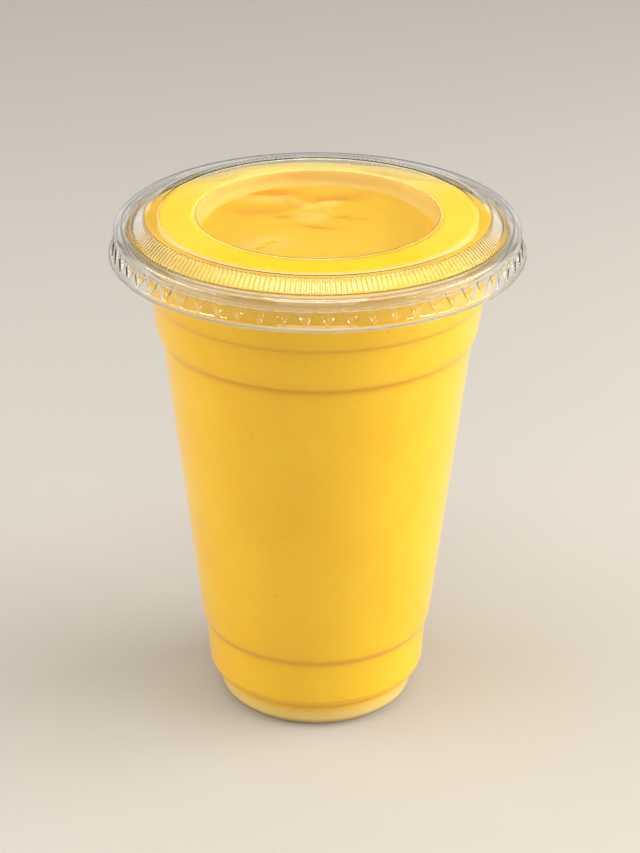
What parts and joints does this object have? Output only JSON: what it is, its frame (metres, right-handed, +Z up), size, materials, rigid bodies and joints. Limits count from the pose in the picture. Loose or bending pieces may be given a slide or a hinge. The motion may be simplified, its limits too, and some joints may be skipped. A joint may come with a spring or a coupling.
{
  "type": "mango lassi in a lidded clear cup",
  "caption": "Thick yellow mango drink filling a tapered clear plastic takeaway cup, closed with a clear flat push-fit lid with a ribbed cone.",
  "frame": {"origin": "on the standing plane, on the cup's axis", "axes": "+Z up along the cup's axis, towards the lid; the view of the picture looks along +Y"},
  "size_m": [0.0972, 0.0972, 0.1255],
  "materials": {
    "cup_plastic": "clear thermoformed sheet, smooth and glossy",
    "mango_lassi": "thick opaque creamy drink, wet and smooth",
    "lid_plastic": "clear thermoformed sheet, smooth and glossy"
  },
  "bodies": {
    "root": {"cup": "cup_plastic", "lassi": "mango_lassi", "lid": "lid_plastic"}
  },
  "joints": []
}
